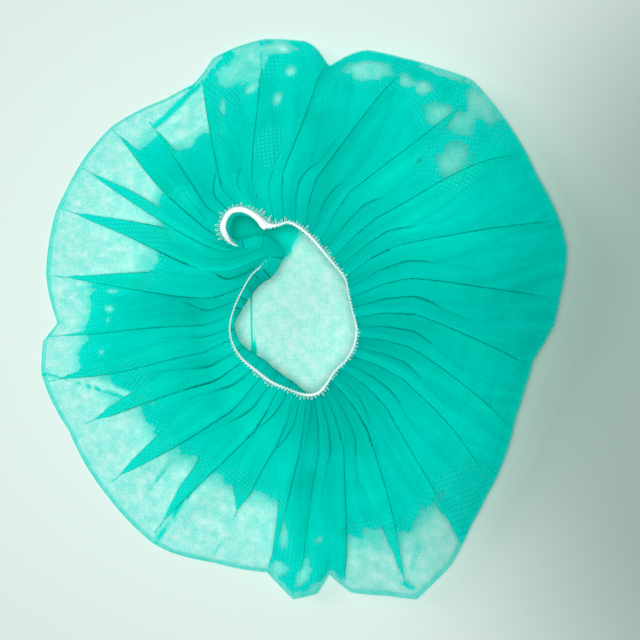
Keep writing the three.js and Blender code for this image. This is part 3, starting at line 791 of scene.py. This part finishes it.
def spunbond():
    """The cloth's material: fibres part matt and part lit through, over a filter that tints the
    light between them, both thicker in clouds and closed up where the cloth is packed."""
    material, tree = shader("teal_spunbond")
    cut = node(tree, "UVMap", uv_map="cut").outputs["UV"]
    cloud = noise(tree, cut, CLOUD_SIZE, 4.0, 0.74)
    fibres = noise(tree, cut, FIBRE_SIZE, 2.0, 0.6)
    cell = node(tree, "VectorMath", {0: cut, "Scale": 1 / BOND_PITCH}, operation="SCALE")
    cell = node(tree, "VectorMath", {0: cell.outputs[0]}, operation="FRACTION")
    cell = node(tree, "VectorMath", {0: cell.outputs[0], 1: (0.5, 0.5, 0)}, operation="DISTANCE")
    bond = remapped(tree, cell.outputs["Value"], 0.34, 0.2)

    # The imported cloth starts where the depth, made ragged by two noises, passes 0. Its bond
    # points show as paler dots near its edge, and the thin cloth beside it is partly packed.
    depth = node(tree, "Attribute", attribute_name="dense").outputs["Fac"]
    waves = [remapped(tree, noise(tree, cut, size, 2.0, 0.6), 0.3, 0.7, -reach, reach)
             for size, reach in EDGE_WAVES]
    ragged = arithmetic(tree, "ADD", depth, arithmetic(tree, "ADD", *waves))
    packed = remapped(tree, ragged, -0.5, 0.7)
    shallow = remapped(tree, ragged, 10.0, 3.0)
    dots = product(tree, bond, shallow)
    nearly = remapped(tree, ragged, -9.0, -1.0, 0.0, 0.3)
    folded = node(tree, "Attribute", attribute_name="folded").outputs["Fac"]
    packed = arithmetic(tree, "MAXIMUM", packed, remapped(tree, folded, 0.3, 0.7))
    packed = arithmetic(tree, "MAXIMUM", packed, nearly)

    # The share that the fibres cover, and the tint of the light that passes between them.
    thick = remapped(tree, cloud, 0.38, 0.62)
    cover = remapped(tree, thick, 0, 1, 0.35 * FLAT_COVER, 1.75 * FLAT_COVER)
    cover = product(tree, cover, remapped(tree, fibres, 0.3, 0.7, 0.55, 1.45))
    cover = product(tree, cover, remapped(tree, bond, 0, 1, 1.05, 0.75))
    cover = node(tree, "Mix", {0: packed, 2: cover, 3: PACKED_COVER}).outputs[0]
    tint = mixed(tree, thick, THIN_FILTER, THICK_FILTER)
    tint = mixed(tree, packed, tint, PACKED_FILTER)

    # The gathers' noise runs out from the cap's middle: it changes with direction far more
    # than with the distance out.
    around = node(tree, "VectorMath", {0: cut}, operation="NORMALIZE").outputs[0]
    reach = node(tree, "VectorMath", {0: cut}, operation="LENGTH").outputs["Value"]
    along = node(tree, "CombineXYZ", {2: product(tree, reach, 0.5)}).outputs[0]
    polar = node(tree, "VectorMath", {0: around, 1: along}, operation="ADD").outputs[0]
    gathers = noise(tree, polar, GATHERS_SIZE, 2.0, 0.55)
    # The relief: fine fibres, sunk bond points, soft clouds and the gathers' ridges.
    relief = arithmetic(tree, "ADD", fibres, product(tree, bond, -0.4))
    relief = product(tree, relief, 0.2)
    relief = arithmetic(tree, "ADD", relief, product(tree, packed, gathers))
    relief = arithmetic(tree, "ADD", relief, product(tree, cloud, 1.2))
    bump = node(tree, "Bump", {"Height": relief, "Strength": 0.5, "Distance": mm})

    # The colour: paler fibres where the cloth is thin. Packed cloth is paler where the gathers' noise
    # is high and darker where it is low. It is also darker the deeper it lies, partly for its own
    # thickness and partly as painted shade on the puffed side, which stands off the table.
    deep = remapped(tree, gathers, 0.3, 0.7, 0.87, 1.02)
    deep = product(tree, deep, remapped(tree, depth, 20.0, 85.0, 1.1, 0.74))
    packed_colour = node(tree, "VectorMath", {0: PACKED_COLOUR[:3], "Scale": deep},
                         operation="SCALE").outputs[0]
    plain = arithmetic(tree, "SUBTRACT", packed, dots, clamp=True)
    colour = mixed(tree, plain, WEB_COLOUR, packed_colour)
    matt = node(tree, "BsdfDiffuse", {"Color": colour, "Normal": bump.outputs[0]})
    through = node(tree, "BsdfTranslucent", {"Color": colour, "Normal": bump.outputs[0]})
    web = node(tree, "MixShader", {0: 0.45, 1: matt.outputs[0], 2: through.outputs[0]})
    gaps = node(tree, "BsdfTransparent", {"Color": tint})
    sheet = node(tree, "MixShader", {0: cover, 1: gaps.outputs[0], 2: web.outputs[0]})
    node(tree, "OutputMaterial", {"Surface": sheet.outputs[0]})
    return material


cap_cloth.data.materials.append(spunbond())
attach(cap_cloth, "root")
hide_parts("cap_sheet")

# The elastic
# A flat white elastic, about 3 mm wide, stretched while it was sewn on and now sprung back.
# Its two ends are sewn over each other round the lobe, and the upper one is cut off blunt.

ELASTIC_WIDTH = 3.2 * mm
ELASTIC_THICKNESS = 1.3 * mm
LEAST_THICKNESS = 0.22
OVERLAP_END_ROW = 9
OVERLAP_OUTWARD = 0.3 * mm
CUT_END_INWARD = -0.9 * mm
OVERLAP_UP = 1.7 * mm
TUCKED_DROP = 0.6 * mm
ELASTIC_SIDES = 16
STEPS_PER_ROW = 16
SQUARENESS = 0.6  # 1 for an oval section, and squarer below that
RIBS_PER_ROW = 4
RIB_DEPTH = 0.05


def band_frame(rows):
    """The elastic's middle, its width's direction and its thickness's direction, at fractional
    rows of its route: level and upright where edge is 0, and turned a quarter where it is 1."""
    middle = closed_curve(route_points, rows)
    tuck = np.clip(closed_curve(mouth["tuck"], rows), 0, 1)
    middle[:, 2] -= TUCKED_DROP * tuck
    step = 0.02
    along = closed_curve(route_points, rows + step) - closed_curve(route_points, rows - step)
    out = outward_of(along)
    up = unit(np.cross(out, along))
    up *= np.sign(up[:, 2:])
    turned = (np.clip(closed_curve(mouth["edge"], rows), 0, 1) * np.pi / 2)[:, None]
    wide = np.cos(turned) * out + np.sin(turned) * up
    thick = np.cos(turned) * up - np.sin(turned) * out
    return middle, wide, thick


def swept_object(name, sections, closed):
    """A tube's mesh from its sections, each a ring of points; its ends are capped if open."""
    rings, sides = sections.shape[:2]
    index = np.arange(rings * sides).reshape(rings, sides)
    ahead = np.roll(index, -1, 0)
    if not closed:
        index, ahead = index[:-1], index[1:]
    quads = np.stack([index, ahead, np.roll(ahead, -1, 1), np.roll(index, -1, 1)], axis=-1)
    faces = quads.reshape(-1, 4).tolist()
    if not closed:
        faces += [list(range(sides)), list(range(rings * sides - 1, (rings - 1) * sides - 1, -1))]
    return placed(name, smooth_mesh(name, sections.reshape(-1, 3), faces))


def elastic_band(rows):
    """The elastic's sections: a rounded oblong whose faces are ribbed along its length."""
    middle, wide, thick = band_frame(rows)
    angle = np.arange(ELASTIC_SIDES) * turn / ELASTIC_SIDES
    across = np.sign(np.cos(angle)) * np.abs(np.cos(angle)) ** SQUARENESS
    deep = np.sign(np.sin(angle)) * np.abs(np.sin(angle)) ** SQUARENESS
    rib = 1 + RIB_DEPTH * np.cos(rows * turn * RIBS_PER_ROW)[:, None]
    band = closed_curve(mouth["band"], rows)[:, None]
    half_width = ELASTIC_WIDTH / 2 * band
    half_thick = ELASTIC_THICKNESS / 2 * (LEAST_THICKNESS + (1 - LEAST_THICKNESS) * band)
    return (middle[:, None]
            + wide[:, None] * (across * half_width)[..., None]
            + thick[:, None] * (deep * half_thick * rib)[..., None])


route_count = len(MOUTH_ROUTE)
loop_rows = np.arange(route_count * STEPS_PER_ROW) / STEPS_PER_ROW
elastic_loop = swept_object("elastic_loop", elastic_band(loop_rows), True)
end_rows = np.linspace(0, OVERLAP_END_ROW, OVERLAP_END_ROW * STEPS_PER_ROW + 1)
upper_band = elastic_band(end_rows)
_, end_wide, end_thick = band_frame(end_rows)
end_out = np.interp(end_rows, [0, 2], [CUT_END_INWARD, OVERLAP_OUTWARD])[:, None]
end_up = OVERLAP_UP * smooth((OVERLAP_END_ROW - end_rows) / 3)[:, None]
upper_band += (end_wide * end_out + end_thick * end_up)[:, None]
elastic_end = swept_object("elastic_end", upper_band, False)


def white_textile(name, grain_size, detail, uneven, dark, light, bump_strength, bump_depth, matt):
    """A white material whose fine grain mixes two colours and stands out a little."""
    material, tree = shader(name)
    place = node(tree, "TexCoord").outputs["Object"]
    grain = noise(tree, place, grain_size, detail, uneven)
    bump = node(tree, "Bump", {"Height": grain, "Strength": bump_strength, "Distance": bump_depth})
    surface = node(tree, "BsdfPrincipled", {"Base Color": mixed(tree, grain, dark, light),
                                            "Roughness": matt, "Normal": bump.outputs[0]})
    node(tree, "OutputMaterial", {"Surface": surface.outputs[0]})
    return material


# White covered rubber. The slight teal in its grain's darker colour is painted light from the cloth
# beside it.
knit_material = white_textile("white_elastic", 0.8 * mm, 3.0, 0.6, (0.82, 0.96, 0.93, 1),
                              (1.0, 1.0, 0.99, 1), 0.5, 0.2 * mm, 0.8)
for piece, stood_for in ((elastic_loop, "hem_elastic"), (elastic_end, "elastic_overlap")):
    piece.data.materials.append(knit_material)
    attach(piece, "root")
    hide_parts(stood_for)

# The overlock stitches
# Textured white thread binds the cloth's edge to the elastic all round: one thread winds over
# the band and stands out past its outer edge in loops, and a second chains the loops together.

STITCH_COUNT = 168
THREAD_RADIUS = 0.13 * mm
THREAD_SIDES = 5
STEPS_PER_STITCH = 12
ANY_DIRECTION = (0.13, 0.21, 0.97)  # one that no thread runs along
LOOP_REACH = 2.9 * mm
INNER_REACH = 0.7 * mm
LEAST_LOOP = 0.3  # the shortest and the longest loop, as shares of their usual reach
MOST_LOOP = 1.6
LOOP_POINT = 2.5  # above 1 it narrows the loops to points with gaps between
CHAIN_WAVE = 0.35 * mm
loop_random = np.random.default_rng(8)


def stitch_frame(phase):
    """The elastic's frame where each stitch is: stitches are evenly spaced along its length."""
    fine = np.linspace(0, route_count, route_count * 24 + 1)
    points = closed_curve(route_points, fine)
    reach = np.append(0, np.cumsum(np.linalg.norm(np.diff(points, axis=0), axis=-1)))
    rows = np.interp(phase % STITCH_COUNT / STITCH_COUNT * reach[-1], reach, fine)
    middle, wide, thick = band_frame(rows)
    doubled = smooth(rows) * smooth(OVERLAP_END_ROW - rows)
    middle = middle + (wide * OVERLAP_OUTWARD / 2 + thick * OVERLAP_UP / 2) * doubled[:, None]
    band = closed_curve(mouth["band"], rows)
    return middle, wide, thick, doubled, band


def thread_object(name, path):
    """A closed thread: rings of points about the path, square to it."""
    along = unit(tangents(path))
    side = unit(np.cross(along, ANY_DIRECTION))
    over = np.cross(side, along)
    angle = np.arange(THREAD_SIDES) * turn / THREAD_SIDES
    ring = (np.cos(angle)[:, None] * side[:, None] + np.sin(angle)[:, None] * over[:, None])
    return swept_object(name, path[:, None] + THREAD_RADIUS * ring, True)


phase = np.arange(STITCH_COUNT * STEPS_PER_STITCH) / STEPS_PER_STITCH
# Each loop has its own reach, from its lowest point on one side to the one on the other.
loop_number = (phase + 0.5).astype(int) % STITCH_COUNT
uneven = loop_random.uniform(LEAST_LOOP, MOST_LOOP, STITCH_COUNT)[loop_number]
uneven = np.convolve(np.tile(uneven, 3), np.ones(7) / 7, "same")[len(uneven):2 * len(uneven)]

middle, wide, thick, doubled, band = stitch_frame(phase)
half_wide = ELASTIC_WIDTH / 2 * band + THREAD_RADIUS
half_thick = ELASTIC_THICKNESS / 2 * (LEAST_THICKNESS + (1 - LEAST_THICKNESS) * band)
half_thick = half_thick + THREAD_RADIUS + OVERLAP_UP / 2 * doubled
reach = LOOP_REACH * uneven * (0.6 + 0.4 * band)
inner_reach = INNER_REACH * (1 - band)
across = np.cos(turn * phase) * (half_wide + inner_reach)
winding_path = (middle + wide * across[:, None]
                + thick * (half_thick * np.sin(turn * phase))[:, None])
winding = thread_object("overlock_winding", winding_path)

middle, wide, thick = stitch_frame(phase + 0.1 * np.sin(2 * turn * phase))[:3]
chain_out = half_wide + reach * np.maximum(np.cos(turn * phase), 0) ** LOOP_POINT
chain_path = (middle + wide * chain_out[:, None]
              + thick * (CHAIN_WAVE * np.sin(2 * turn * phase))[:, None])
chain = thread_object("overlock_chain", chain_path)

# Textured white filament, which takes on the cloth's colour between its turns. The teal in its
# grain's darker colour is painted light from the cloth shining through it.
thread_material = white_textile("white_thread", 0.5 * mm, 2.0, 0.5, (0.5, 0.96, 0.91, 1),
                                (0.96, 1.0, 1.0, 1), 0.4, 0.1 * mm, 0.7)
for piece in (winding, chain):
    piece.data.materials.append(thread_material)
    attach(piece, "root")

# The stage
# A plain pale table top with a soft round shadow painted on it to the right of the cap, under a
# soft lamp above it and a wide window light from the upper left, seen from straight above.

CAMERA_PLACE = (12.36 * mm, -0.53 * mm, 620 * mm)
SENSOR_WIDTH = 36
FRAME_AT_FLOOR = 364.8 * mm
FLOOR_HALF = 2.5
TABLE_COLOUR = (0.76, 0.86, 0.82, 1)
# The soft round shadow painted on the table right of the cap: its colour, middle and reach.
PAINTED_SHADOW_COLOUR = (0.38, 0.48, 0.43, 1)
PAINTED_SHADOW_PLACE = (0.33, -0.03, 0.0)  # the middle of the round shadow painted on the table
PAINTED_SHADOW_OUTER = 0.33
PAINTED_SHADOW_INNER = 0.15
ROOM_COLOUR = (1, 1, 0.97, 1)
ROOM_STRENGTH = 0.13
LAMP_COLOUR = (0.95, 1.0, 0.99)

floor_mesh = bpy.data.meshes.new("table_top")
floor_corners = [(x * FLOOR_HALF, y * FLOOR_HALF, 0) for x, y in ((-1, -1), (1, -1), (1, 1), (-1, 1))]
floor_mesh.from_pydata(floor_corners, [], [(0, 1, 2, 3)])
floor = placed("table_top", floor_mesh)
floor_material, tree = shader("pale_table")
table_place = node(tree, "TexCoord").outputs["Object"]
# Painted shadow: the table's colour turns greyer towards the middle of a round place right of the
# cap.
from_painted_shadow = node(tree, "VectorMath", {0: table_place, 1: PAINTED_SHADOW_PLACE},
                  operation="DISTANCE").outputs["Value"]
painted_shadow_share = node(tree, "MapRange", {"Value": from_painted_shadow, "From Min": PAINTED_SHADOW_OUTER,
                                     "From Max": PAINTED_SHADOW_INNER},
                  interpolation_type="SMOOTHSTEP").outputs["Result"]
surface = node(tree, "BsdfDiffuse", {"Color": mixed(tree, painted_shadow_share, TABLE_COLOUR, PAINTED_SHADOW_COLOUR)})
node(tree, "OutputMaterial", {"Surface": surface.outputs[0]})
floor_mesh.materials.append(floor_material)

world = bpy.data.worlds.new("room")
world.use_nodes = True
background = world.node_tree.nodes["Background"].inputs
background["Color"].default_value = ROOM_COLOUR
background["Strength"].default_value = ROOM_STRENGTH
bpy.context.scene.world = world

# The lamps, aimed at the middle of the table: place and size in metres, and power in watts.
LAMP_COLUMNS = ("place", "size", "power")
LAMPS = {
    "window_light": ((-2.0, 0.75, 1.55), 1.25, 20.0),
    "ceiling_light": ((0.0, 0.0, 0.75), 0.2, 4.5),
}
for name, values in LAMPS.items():
    lamp_row = dict(zip(LAMP_COLUMNS, values))
    lamp = bpy.data.lights.new(name, "AREA")
    lamp.shape = "DISK"
    lamp.size = lamp_row["size"]
    lamp.energy = lamp_row["power"]
    lamp.color = LAMP_COLOUR
    lamp_object = placed(name, lamp)
    lamp_object.location = lamp_row["place"]
    to_middle = Vector() - Vector(lamp_row["place"])
    lamp_object.rotation_euler = to_middle.to_track_quat("-Z", "Y").to_euler()

camera = bpy.data.cameras.new("camera")
camera.sensor_width = SENSOR_WIDTH
camera.lens = SENSOR_WIDTH * CAMERA_PLACE[2] / FRAME_AT_FLOOR
camera_object = placed("camera", camera)
camera_object.location = CAMERA_PLACE
bpy.context.scene.camera = camera_object
bpy.context.scene.view_settings.view_transform = "Standard"
# Few bounces are enough for thin layers over a pale table.
cycles = bpy.context.scene.cycles
cycles.max_bounces = 5
cycles.diffuse_bounces = 3
cycles.transmission_bounces = 3
cycles.glossy_bounces = 1
cycles.transparent_max_bounces = 12
